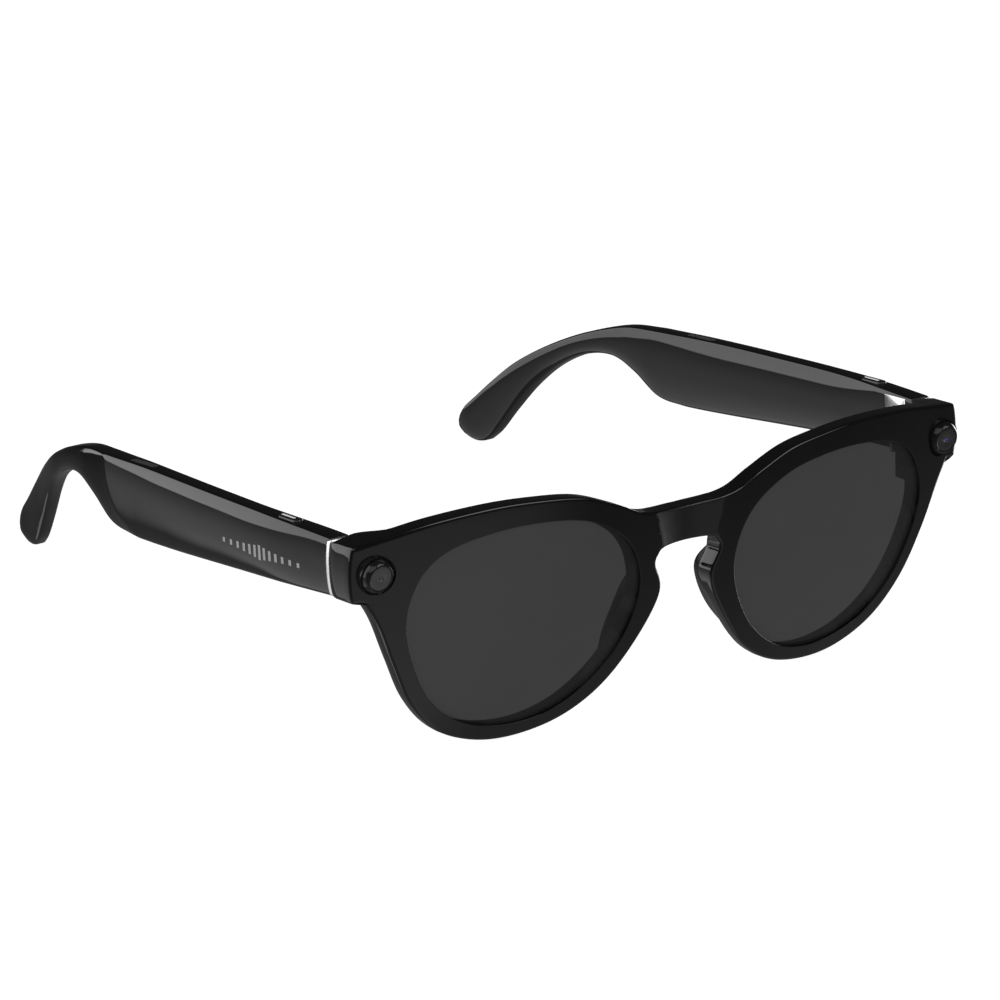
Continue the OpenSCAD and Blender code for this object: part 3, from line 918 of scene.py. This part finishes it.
@dataclass
class Window:
    """A round window on an endpiece: its barrel in a moat, and what shows in the barrel.

    Attributes:
        side: The wearer's side.
        centre: Middle of the window on the face.
        tilt: How far the window leans off straight ahead, in degrees.
        hole: Radius and depth of the seat in the moulding.
        barrel: The barrel's closed profile, as radius and height.
        plain_glass: The indicator glass's profile, with a small boss in its middle.
        deep_glass: The camera glass's profile, with a well for the lens element.
        dome: The lens element's profile.
    """

    side: Side
    centre: Point = (68.6, 6.2, -5.85)
    tilt: float = 10.0
    hole: Point = (3.8, 1.6)
    barrel: tuple[Point, ...] = (
        (2.4, -1.5), (2.4, 1.26), (2.43, 1.36), (2.52, 1.41), (2.62, 1.4), (2.76, 1.31),
        (2.92, 1.14), (3.06, 0.92), (3.2, 0.64), (3.32, 0.32), (3.4, 0.0), (3.44, -0.26),
        (3.48, -0.34), (3.54, -0.36), (3.6, -0.3), (3.68, -0.14), (3.74, -0.05), (3.79, -0.02),
        (3.79, -0.3), (3.79, -1.5))
    plain_glass: tuple[Point, ...] = (
        (2.39, 0.9), (2.39, 1.22), (2.34, 1.3), (2.24, 1.33), (0.62, 1.34), (0.57, 1.31),
        (0.5, 1.2), (0.42, 1.14), (0.3, 1.14), (0.24, 1.22), (0.16, 1.28), (0.03, 1.29))
    deep_glass: tuple[Point, ...] = (
        (2.39, 0.9), (2.39, 1.22), (2.34, 1.3), (2.24, 1.33), (0.56, 1.34), (0.52, 1.31),
        (0.48, 1.24), (0.42, 1.2), (0.36, 1.18), (0.28, 1.17))
    dome: tuple[Point, ...] = (
        (0.36, 1.1), (0.35, 1.2), (0.3, 1.26), (0.22, 1.3), (0.12, 1.32), (0.02, 1.33))

    def place(self) -> Matrix:
        """The window's own frame, with z out of the face, in the worn frame."""
        x, y, z = self.centre
        turn = Matrix.Rotation(math.radians(90 + self.tilt), 4, "X")
        return Matrix.Translation((x, y, z)) @ turn

    def seat(self) -> bpy.types.Object:
        """The tool that cuts the window's seat into the moulding.

        Returns:
            The tool.
        """
        radius, depth = self.hole
        rim = ((radius, -depth), (radius, -0.06), (radius + 0.03, -0.03), (radius + 0.12, 0.02),
               (radius + 0.12, 3))
        tool = Bench.turned("seat_tool", rim, self.place(), 96)
        return Bench.mirrored(tool, self.side)

    def build(self) -> None:
        """Models and dresses the barrel and the glass."""
        place, left = self.place(), self.side is Side.LEFT
        word = "camera" if left else "indicator"
        barrel = Bench.turned(f"{word}_barrel", self.barrel, place, 96, loop=True)
        Bench.finish(Bench.mirrored(barrel, self.side), Edge.MOULDED, BEZEL.material(),
                     "bezel_dark", "front", f"{word}_bezel")
        profile = self.deep_glass if left else self.plain_glass
        glass = Bench.mirrored(Bench.turned(f"{word}_glass", profile, place, 96), self.side)
        finish = DARK_GLASS if left else GREY_GLASS
        Bench.finish(glass, Edge.MOULDED, finish.material(),
                     "window_dark" if left else "window_grey", "front", f"{word}_window")
        if left:
            dome = Bench.turned("camera_front_element", self.dome, place, 64)
            Bench.finish(dome, Edge.SOFT, VIOLET_COAT.material(), "window_dark", "front")


# ---- temples -----------------------------------------------------------------------------


@dataclass
class Temple:
    """A temple with its ring, button, speaker slot and touch marks.

    Attributes:
        side: The wearer's side.
        ring_y: Front and back of the silver ring.
        ring_low: How far the ring stays under the top of the temple.
        half: Half the thickness at the middle of the height, outside and inside.
        bulge: How much of that is crown at the ring, outside and inside.
        swell: How much more crown the middle of the temple has, outside and inside.
        round_off: Radius of the long edges, top and bottom.
        tip_thin: How much thinner the tip is.
        crease: The crease behind the touch face: its y at the top edge, its lean and
            how it hooks forward lower down.
        inset: How far the face falls away behind the crease.
        crease_fade: How fast it falls away there.
        crown_power: How late the crown turns in towards the long edges.
        crown_rise: Between which y the extra crown comes up.
        crown_fall: Between which y the extra crown goes again.
        crown_lost: How much of it goes.
        button: The button's y, half its length and half its width.
        highlight_strip: Half the length and half the width of the button's painted highlight, a bright bar
            standing in for light reflected off its top, and its offset.
        slot: The speaker slot's y, half its length and half its width.
        holes: Pitch along and across the slot, and radius, of the plate's holes.
        marks: The y and z of the middle touch mark, and each mark's width.
        mark_gap: The first gap between marks and what each further one adds to it.
        mark_tall: Height of the middle mark and each next one's share of it.
        lid: The first and the last corner of the lid: y and z of each.
        lid_drop: How far the lid's lower edge drops behind the ring.
        lid_thick: How proud of the inner face the lid is, and how deep it goes.
        plan: The middle of the temple from above: y and x.
        edges: Matching points of the top and the bottom edge: y and z of each.
        tip: The same round the end of the ear hook.
        pitch: The edges' mean spacing along y, at the ring, the marks and the lid.
    """

    side: Side
    ring_y: Point = (14.75, 15.75)
    ring_low: float = 0.3
    half: Point = (2.78, 2.65)
    bulge: Point = (0.62, 0.4)
    swell: Point = (0.55, 0.5)
    round_off: Point = (0.5, 0.75)
    tip_thin: float = 0.45
    crease: Point = (97.2, 0.26, 1.9e-4)
    inset: float = 0.75
    crease_fade: float = 0.16
    crown_power: float = 2.5
    crown_rise: Point = (18, 44)
    crown_fall: Point = (72, 104)
    crown_lost: float = 0.65
    button: Point = (30.3, 3.3, 1.2)
    # Painted highlight on the button: a bright bar standing in for light reflected off its top.
    highlight_strip: Point = (2.2, 0.27, 0.6)
    slot: Point = (84.3, 4.4, 0.8)
    holes: Point = (0.62, 0.36, 0.13)
    marks: Point = (37.4, -6.6, 0.8)
    mark_gap: Point = (1.5, 0.1)
    mark_tall: Point = (2.9, 0.82)
    lid: tuple[Point, Point] = ((26.0, -9.2), (91.0, -2.2))
    lid_drop: float = 2.4
    lid_thick: Point = (0.01, 0.5)
    plan: tuple[Point, ...] = (
        (14, 70.6), (36, 71.3), (60, 70.6), (84, 69.3), (107, 67.6), (125, 64), (140, 59.4),
        (156, 56.4))
    edges: tuple[Point, ...] = (
        (14.5, 0.42, 14.5, -10.9), (25, 0.8, 25, -11.35), (36, 1.1, 36, -11.9),
        (48, 1.2, 48, -12.5), (60, 1.2, 60, -13.2), (72, 1.2, 72, -13.9),
        (83, 1.1, 82.5, -14.35), (92, 0.85, 90, -14.4), (99, 0.65, 97, -13.6),
        (105.5, 0.3, 103.8, -9.5), (112, -1.0, 110.5, -6.85), (120, -3.4, 118.2, -7.6),
        (128.5, -6.95, 126, -11.1), (136.5, -11.4, 132.4, -16.2), (143.2, -16.4, 138.4, -22.7),
        (148.3, -20.6, 143, -28.0), (151.2, -22.9, 146, -30.45))
    tip: tuple[Point, ...] = (
        (151.9, -23.5, 146.8, -30.75), (152.8, -24.5, 147.9, -30.95), (153.6, -25.7, 149, -30.95),
        (154.05, -26.8, 150.1, -30.7), (154.1, -27.9, 151.3, -30.2), (153.85, -28.6, 152.3, -29.6),
        (153.6, -28.95, 152.9, -29.25))
    pitch: Point = (10.5, 11, 11.42)

    @property
    def body(self) -> str:
        """The body the temple's pieces ride on."""
        return f"temple_{self.side.word}"

    def middle(self, y: float) -> float:
        """The x of the temple's middle.

        Args:
            y: Where to read it.

        Returns:
            The x there.
        """
        spots = [p[0] for p in self.plan]
        low = max(i for i, s in enumerate(spots[:-1]) if s <= max(y, spots[0]))
        share = (y - spots[low]) / (spots[low + 1] - spots[low])
        return float(bend(self.plan, low + share)[1])

    def crown(self, y: float, face: int) -> float:
        """The crown of the outer face, 0, or the inner one, 1, at y."""
        swell = ease(*self.crown_rise, y) - self.crown_lost * ease(*self.crown_fall, y)
        return self.bulge[face] + self.swell[face] * float(swell)

    def edge_at(self, y: float, pitch: float) -> np.ndarray:
        """The top and the bottom edge near y, as y and z of each, for a mean spacing."""
        return bend(self.edges, (y - self.edges[0][0]) / pitch)

    def outside(self, y: float, z: float, v: float) -> float:
        """The x of the outer face.

        Args:
            y: Where to read it, from front to back.
            z: Where to read it, up.
            v: The same height, from -1 at the bottom edge to 1 at the top.

        Returns:
            The x there.
        """
        top, lean, hook = self.crease
        past = y - (top + lean * z - hook * z ** 4)
        fall = self.inset * (1 - math.exp(-max(past, 0) * self.crease_fade))
        crown = self.crown(y, 0) * abs(v) ** self.crown_power
        return self.middle(y) + self.half[0] - crown - fall

    def inside(self, y: float, v: float) -> float:
        """The x of the inner face at y; v is the height from -1 to 1."""
        return self.middle(y) - self.half[1] + self.crown(y, 1) * abs(v) ** self.crown_power

    def section(self, edge: Point, thin: float = 1.0, swell: float = 0.0) -> Ring:
        """One closed section between a top and a bottom point.

        Args:
            edge: The y and z of the top point, then of the bottom point.
            thin: The share of the thickness that is left.
            swell: How far the section stands proud all round.

        Returns:
            The section's points, up the outer face and down the inner one.
        """
        top, low = np.array(edge[:2], float), np.array(edge[2:], float)
        run = top - low
        length = float(np.linalg.norm(run)) or 1e-6
        radii = [min(r, 0.42 * length) for r in self.round_off]
        corner = [1 - math.sin(math.radians(a)) for a in (90, 64, 40, 18, 0)]
        gaps = [radii[1] * g for g in corner]
        gaps += [radii[1] + (length - sum(radii)) * s for s in spread(0, 1, 20)[1:-1]]
        gaps += [length - radii[0] * g for g in reversed(corner)]
        outer, inner = [], []
        for along in gaps:
            y, z = low + run * along / length
            v = 2 * along / length - 1
            fall = sum(float(Front.rounding(np.array(g), r)) for g, r in
                       ((along, radii[1]), (length - along, radii[0])))
            out = self.outside(y, z, v) - fall + swell
            back = self.inside(y, v) + fall - min(swell, 0)
            centre = (out + back) / 2
            rise = min(swell, 0) * v
            outer.append((centre + (out - centre) * thin, y, z + rise))
            inner.append((centre + (back - centre) * thin, y, z + rise))
        return outer + inner[::-1]

    def shell(self) -> bpy.types.Object:
        """The moulded shell from the ring to the end of the ear hook.

        Returns:
            The shell, with the button's and the speaker's seats cut in.
        """
        rings: list[Ring] = []
        count = len(self.edges) - 1
        first = (self.ring_y[1] + 0.12 - self.edges[0][0]) / self.pitch[0]
        for place in [first, *[p for p in spread(0, count, count * 12) if p > first + 0.02]]:
            edge = bend(self.edges, place)
            thin = 1 - self.tip_thin * float(ease(10, count + 0.5, place)) * 0.35
            rings.append(self.section(edge, thin))
        base = 1 - self.tip_thin * 0.35
        last = len(self.tip)
        for i, edge in enumerate(self.tip, 1):
            rings.append(self.section(edge, base * math.sqrt(max(1 - (i / (last + 0.6)) ** 3, 0))))
        piece = Bench.loft(f"temple_moulding_{self.side.word}", rings)
        y, long, wide = self.button
        seat = Bench.pill("seat_tool", long + 0.18, wide + 0.18, -0.55, 4)
        seat.data.transform(Matrix.Translation((self.middle(y), y, 0)))
        Bench.cut(piece, seat)
        y, long, wide = self.slot
        seat = Bench.pill("slot_tool", long + 0.05, wide + 0.05, 0.3, 4)
        seat.data.transform(Matrix.Translation((self.middle(y), y, 0)))
        Bench.cut(piece, seat)
        return Bench.mirrored(piece, self.side)

    def ring(self) -> bpy.types.Object:
        """The bright ring between the endpiece and the shell.

        Returns:
            The ring.
        """
        low, high = self.ring_y
        middle, half = (low + high) / 2, (high - low) / 2
        rings: list[Ring] = []
        for degrees in spread(-90, 90, 10):
            a = math.radians(degrees)
            rings.append(self.ring_section(middle + half * math.sin(a), 0.16 * math.cos(a)))
        for y, swell in ((high, -1.2), (middle, -1.25), (low, -1.2)):
            rings.append(self.ring_section(y, swell))
        piece = Bench.loft(f"trim_band_{self.side.word}", rings, loop=True)
        return Bench.mirrored(piece, self.side)

    def ring_section(self, y: float, swell: float) -> Ring:
        """A section of the ring.

        Args:
            y: Where it is.
            swell: How far it stands proud of the temple.

        Returns:
            The section's points.
        """
        edge = self.edge_at(y, self.pitch[0])
        ends = (y, edge[1] - self.ring_low, y, edge[3])
        return [(px, y, pz) for px, _, pz in self.section(ends, swell=swell)]

    def button_cap(self) -> tuple[bpy.types.Object, bpy.types.Object]:
        """The button's dark cap and the painted highlight let into it: a bright bar standing in for light
        reflected off the cap's top.

        Returns:
            The cap and the painted highlight.
        """
        y, long, wide = self.button
        highlight_long, highlight_wide, shift = self.highlight_strip
        spot = Matrix.Translation((self.middle(y), y, 0))
        cap = Bench.pill(f"button_cap_{self.side.word}", long, wide, -0.1, 1.32, 0.35)
        # Painted highlight: a bright bar on the cap that stands in for the reflection of light off its top.
        highlight_strip = Bench.pill(f"button_painted_highlight_{self.side.word}", highlight_long, highlight_wide, 0.9, 1.36,
                           0.05)
        highlight_strip.data.transform(Matrix.Translation((0, shift, 0)))
        for piece in (cap, highlight_strip):
            piece.data.transform(spot)
            Bench.mirrored(piece, self.side)
        return cap, highlight_strip

    def speaker_plate(self) -> bpy.types.Object:
        """The perforated plate in the speaker slot on top of the temple.

        Returns:
            The plate.
        """
        y, long, wide = self.slot
        along, across, radius = self.holes
        plate = Bench.pill(f"speaker_grille_{self.side.word}", long, wide, -0.5, 0.0, 0.05)
        drills = []
        for column in range(13):
            for row in (-across, 0.0, across):
                spot = Matrix.Translation((row, (column - 6) * along, 0))
                bore = ((radius, -0.3), (radius, 0.3))
                drills.append(Bench.turned("drill", bore, spot, 10))
        tool = Bench.join("drill_set", drills)
        Bench.cut(plate, tool)
        lean = math.atan2(self.edges[7][1] - self.edges[6][1], 9)
        plate.data.transform(Matrix.Translation((self.middle(y), y, 1.02))
                             @ Matrix.Rotation(lean, 4, "X"))
        return Bench.mirrored(plate, self.side)

    def cover(self) -> bpy.types.Object:
        """The lid over the works, let into the inner face and flush with it.

        Returns:
            The lid.
        """
        rings: list[Ring] = []
        low, high = self.lid
        proud, deep_in = self.lid_thick
        places = spread(low[0], high[0], 60)
        heights = [low[1] + (high[1] - low[1]) * i / 24 for i in range(25)]
        for y in places:
            top, deep = [], []
            edge = self.edge_at(y, self.pitch[2])
            drop = float(ease(low[0] + 20, low[0] + 34, y)) * self.lid_drop
            for i, height in enumerate(heights):
                z = height - drop * (1 - i / 24)
                v = 2 * (z - edge[3]) / (edge[1] - edge[3]) - 1
                x = self.inside(y, v)
                top.append((x - proud, y, z))
                deep.append((x + deep_in, y, z))
            rings.append(top + deep[::-1])
        piece = Bench.loft(f"temple_lid_{self.side.word}", rings)
        return Bench.mirrored(piece, self.side)

    def touch_marks(self) -> bpy.types.Object:
        """The row of upright inlays that shows where the touch face is.

        Returns:
            The inlays as one piece.
        """
        y0, z0, wide = self.marks
        (gap, more), (tallest, shrink) = self.mark_gap, self.mark_tall
        made = []
        for i in range(-6, 7):
            step = abs(i)
            y = y0 + math.copysign(gap * step + more * step * step, i)
            tall = tallest * shrink ** step
            edge = self.edge_at(y, self.pitch[1])
            v = 2 * (z0 - edge[3]) / (edge[1] - edge[3]) - 1
            mark = Bench.slab("mark", (-0.06, -wide / 2, -tall / 2), (0.03, wide / 2, tall / 2), 0.02)
            slope = (self.outside(y + 1, z0, v) - self.outside(y - 1, z0, v)) / 2
            mark.data.transform(Matrix.Translation((self.outside(y, z0, v), y, z0))
                                @ Matrix.Rotation(-math.atan(slope), 4, "Z"))
            made.append(mark)
        piece = Bench.join("touch_inlays", made)
        return Bench.mirrored(piece, self.side)

    def build(self) -> None:
        """Models and dresses the temple's pieces."""
        word, body = self.side.word, self.body
        Bench.finish(self.shell(), Edge.MOULDED, GLOSS_BLACK.material(), "gloss_black", body,
                     f"temple_shell_{word}")
        Bench.finish(self.ring(), Edge.SOFT, RING_SILVER.material(), "ring_silver", body,
                     f"trim_ring_{word}")
        Bench.finish(self.cover(), Edge.MOULDED, GLOSS_BLACK.material(), "satin_black", body,
                     f"temple_cover_{word}")
        cap, highlight_strip = self.button_cap()
        Bench.finish(cap, Edge.MOULDED, BUTTON_BLACK.material(), "button_gloss",
                     f"button_{word}", f"button_{word}")
        # The button's painted highlight, a bright bar standing in for reflected light.
        Bench.finish(highlight_strip, Edge.MOULDED, BUTTON_PAINTED_HIGHLIGHT.material(), "button_gloss",
                     f"button_{word}")
        Bench.finish(self.speaker_plate(), Edge.MACHINED, SOUND_MESH.material(), "mesh_black",
                     body, f"speaker_mesh_{word}")
        if self.side is Side.RIGHT:
            Bench.finish(self.touch_marks(), Edge.MACHINED, MARK_GREY.material(),
                         "mark_silver", body, "touch_marks")


# ---- parts carried over from the frame -----------------------------------------------------


@dataclass
class Works:
    """Hinges, covers, boards and cells that come straight from the frame.

    Attributes:
        edged: Parts seen from outside, as a start of their name, finish, slot and the
            width of their broken edges.
        hidden: Parts sealed inside, as a start of their name and a finish.
    """

    edged: tuple[tuple[str, Finish, str, float], ...] = (
        ("hinge_front_leaf", HINGE_STEEL, "hinge_steel", 0.12),
        ("hinge_temple_leaf", HINGE_STEEL, "hinge_steel", 0.12),
        ("hinge_screws", SCREW_STEEL, "hinge_steel", 0.05),
        ("hinge_pin", SCREW_STEEL, "hinge_steel", 0.08),
        ("endpiece_cover", SATIN_BLACK, "satin_black", 0.12),
        ("channel_cover", SATIN_BLACK, "satin_black", 0.1),
        ("charging_contacts", GOLD, "contact_gold", 0.08),
    )
    hidden: tuple[tuple[str, Finish], ...] = (
        ("camera_module", INNER_BLACK), ("indicator_board", BOARD_GREEN),
        ("front_flex", FLEX_AMBER), ("touch_flex", FLEX_AMBER), ("battery", BATTERY_WRAP),
        ("speaker_", SPEAKER_GREY), ("main_board", BOARD_GREEN), ("aux_board", BOARD_GREEN),
        ("microphone", CAN_SILVER), ("button_switch", CAN_SILVER), ("tip_core", CORE_STEEL),
    )

    def build(self) -> None:
        """Refines the parts that show and gives every other one its finish."""
        for node, owner in self.owners():
            if frame["nodes"][node].hide_render:
                continue
            for start, finish, slot, width in self.edged:
                if node.startswith(start):
                    piece = Bench.refined(node, f"{node}_edged", width)
                    Bench.finish(piece, Edge.MACHINED, finish.material(), slot, owner, node)
            for start, finish in self.hidden:
                if node.startswith(start):
                    self.dress(frame["nodes"][node], finish)

    @staticmethod
    def owners() -> Iterable[tuple[str, str]]:
        """Every part of the frame with the body it belongs to."""
        for body, nodes in frame["record"]["behaviour"]["bodies"].items():
            for node in nodes:
                yield node, body

    @staticmethod
    def dress(node: bpy.types.Object, finish: Finish) -> None:
        """Gives a part of the frame its finish and leaves its shape alone."""
        node.data.materials.clear()
        node.data.materials.append(finish.material())
        LOG.info("%s: %s", node.name, finish.name)


# ---- the studio ----------------------------------------------------------------------------


@dataclass(frozen=True)
class Softbox:
    """A soft panel of light that only shows in reflections.

    Attributes:
        azimuth: Its sides, in degrees round from straight ahead of the glasses.
        height: Its lower and upper edge, in degrees above the horizon.
        power: How bright its lower and upper edge are.
        soft: How many degrees its sides and its edges fade over.
    """

    azimuth: Point
    height: Point
    power: Point
    soft: Point = (3.0, 1.0)


@dataclass
class Studio:
    """Floor, light and camera.

    Attributes:
        eye: The camera's place.
        aim: The camera's azimuth, elevation and roll in degrees.
        lens: Its focal length in millimetres.
        panels: The soft panels of light.
        ambient: The glow behind the panels, below and above the glasses.
    """

    eye: Point = (-0.6262, -0.8583, 0.4185)
    aim: Point = (-36.569, 20.569, 1.13)
    lens: float = 201.708
    panels: tuple[Softbox, ...] = (
        Softbox((-166, -92), (-8, 62), (2.0, 2.0), (8, 0.8)),
        Softbox((-156, -92), (-55, -8.6), (1.1, 0.22), (6, 0.8)),
        Softbox((-8, 25), (-80, -8), (0.36, 0.28), (20, 6)),
        Softbox((8, 64), (34, 66), (2.6, 2.6), (4, 2)),
        Softbox((76, 132), (-25, 6), (4.6, 4.6), (4, 5)),
        Softbox((-90, -5), (30, 70), (1.2, 1.2), (6, 4)),
    )
    ambient: Point = (0.22, 0.02)

    def build(self) -> None:
        """Sets the floor, the light and the camera up."""
        self.floor()
        self.world()
        self.camera()
        view = bpy.context.scene.view_settings
        view.view_transform = "Standard"
        view.look = "None"

    def floor(self) -> None:
        """A plain white floor just under the glasses."""
        Bench.clear()
        bpy.ops.mesh.primitive_plane_add(size=6, location=(0, 0, -0.0004))
        floor = bpy.context.object
        floor.name = "studio_floor"
        paint = bpy.data.materials.new("white_floor")
        paint.use_nodes = True
        shader = paint.node_tree.nodes["Principled BSDF"]
        shader.inputs["Base Color"].default_value = (0.12, 0.12, 0.12, 1)
        shader.inputs["Roughness"].default_value = 0.9
        shader.inputs["Specular IOR Level"].default_value = 0.0
        shader.inputs["Emission Color"].default_value = (1, 1, 1, 1)
        shader.inputs["Emission Strength"].default_value = 0.97
        floor.data.materials.append(paint)
        floor.visible_glossy = False

    def world(self) -> None:
        """White to the camera, soft white on matt surfaces, panels in reflections."""
        world = bpy.data.worlds.new("studio")
        bpy.context.scene.world = world
        world.use_nodes = True
        nodes, links = world.node_tree.nodes, world.node_tree.links
        nodes.clear()

        def maths(kind: str, *values: object) -> bpy.types.NodeSocket:
            """Adds a sum of numbers and sockets.

            Args:
                kind: The operation.
                values: Its operands.

            Returns:
                The result's socket.
            """
            node = nodes.new("ShaderNodeMath")
            node.operation = kind
            for socket, value in zip(node.inputs, values):
                if isinstance(value, bpy.types.NodeSocket):
                    links.new(value, socket)
                else:
                    socket.default_value = value
            return node.outputs[0]

        def remap(value: bpy.types.NodeSocket, low: float, high: float, start: float,
                  end: float, smooth: bool = True) -> bpy.types.NodeSocket:
            """Takes a value from one range to another.

            Args:
                value: The value's socket.
                low: The range's lower end.
                high: The range's upper end.
                start: The result at the lower end.
                end: The result at the upper end.
                smooth: Whether it eases in and out.

            Returns:
                The result's socket.
            """
            node = nodes.new("ShaderNodeMapRange")
            node.interpolation_type = "SMOOTHSTEP" if smooth else "LINEAR"
            links.new(value, node.inputs["Value"])
            for name, number in (("From Min", low), ("From Max", high), ("To Min", start),
                                 ("To Max", end)):
                node.inputs[name].default_value = number
            return node.outputs["Result"]

        place = nodes.new("ShaderNodeTexCoord")
        axes = nodes.new("ShaderNodeSeparateXYZ")
        links.new(place.outputs["Generated"], axes.inputs[0])
        forward = maths("MULTIPLY", axes.outputs["Y"], -1.0)
        azimuth = maths("DEGREES", maths("ARCTAN2", axes.outputs["X"], forward))
        height = maths("DEGREES", maths("ARCSINE", axes.outputs["Z"]))
        total = remap(height, -60, 8, *self.ambient)
        for panel in self.panels:
            (left, right), (low, high) = panel.azimuth, panel.height
            side, edge = panel.soft
            light = remap(height, low, high, *panel.power, smooth=False)
            for value, start, end, fade in ((azimuth, left, right, side), (height, low, high, edge)):
                light = maths("MULTIPLY", light, remap(value, start - fade / 2, start + fade / 2, 0, 1))
                light = maths("MULTIPLY", light, remap(value, end - fade / 2, end + fade / 2, 1, 0))
            total = maths("ADD", total, light)
        path = nodes.new("ShaderNodeLightPath")
        glossy, camera = path.outputs["Is Glossy Ray"], path.outputs["Is Camera Ray"]
        matt = maths("SUBTRACT", 1.0, glossy)
        power = maths("ADD", maths("MULTIPLY", total, glossy), maths("MULTIPLY", 0.9, matt))
        seen = maths("SUBTRACT", 1.0, camera)
        power = maths("ADD", maths("MULTIPLY", power, seen), maths("MULTIPLY", 1.05, camera))
        back = nodes.new("ShaderNodeBackground")
        links.new(power, back.inputs["Strength"])
        out = nodes.new("ShaderNodeOutputWorld")
        links.new(back.outputs[0], out.inputs["Surface"])
        back.inputs["Color"].default_value = (1, 1, 1, 1)

    def camera(self) -> None:
        """The camera, low and to the wearer's right of the front."""
        turn, rise, roll = (math.radians(a) for a in self.aim)
        back = Vector((math.sin(turn) * math.cos(rise), -math.cos(turn) * math.cos(rise),
                       math.sin(rise)))
        right = Vector((math.cos(turn), math.sin(turn), 0))
        up = back.cross(right)
        level = right * math.cos(roll) + up * math.sin(roll)
        crown = up * math.cos(roll) - right * math.sin(roll)
        data = bpy.data.cameras.new("studio_camera")
        data.lens, data.sensor_width = self.lens, 36
        data.clip_start, data.clip_end = 0.1, 20
        camera = bpy.data.objects.new("studio_camera", data)
        bpy.context.scene.collection.objects.link(camera)
        pose = Matrix((level, crown, back)).transposed().to_4x4()
        camera.matrix_world = Matrix.Translation(self.eye) @ pose
        bpy.context.scene.camera = camera


def main() -> None:
    """Builds the glasses piece by piece, then the studio."""
    logging.basicConfig(level=logging.INFO, format="%(name)s %(message)s")
    front = Front()
    moulding = front.frame()
    windows = [Window(side) for side in Side]
    for window in windows:
        Bench.cut(moulding, window.seat())
    front.polish(moulding)
    Bench.finish(moulding, Edge.MOULDED, GLOSS_BLACK.material(), "gloss_black", "front",
                 "front_frame")
    for side in Side:
        word = side.word
        Bench.finish(front.lens(side), Edge.MOULDED, SUN_TINT.material(), "lens_tint", "front",
                     f"lens_{word}")
        Bench.finish(front.pad(side), Edge.MOULDED, PAD_BLACK.material(), "pad_black", "front",
                     f"nose_pad_{word}")
        Temple(side).build()
    for window in windows:
        window.build()
    Works().build()
    Studio().build()
    bpy.context.view_layer.update()


if __name__ == "__main__":
    main()
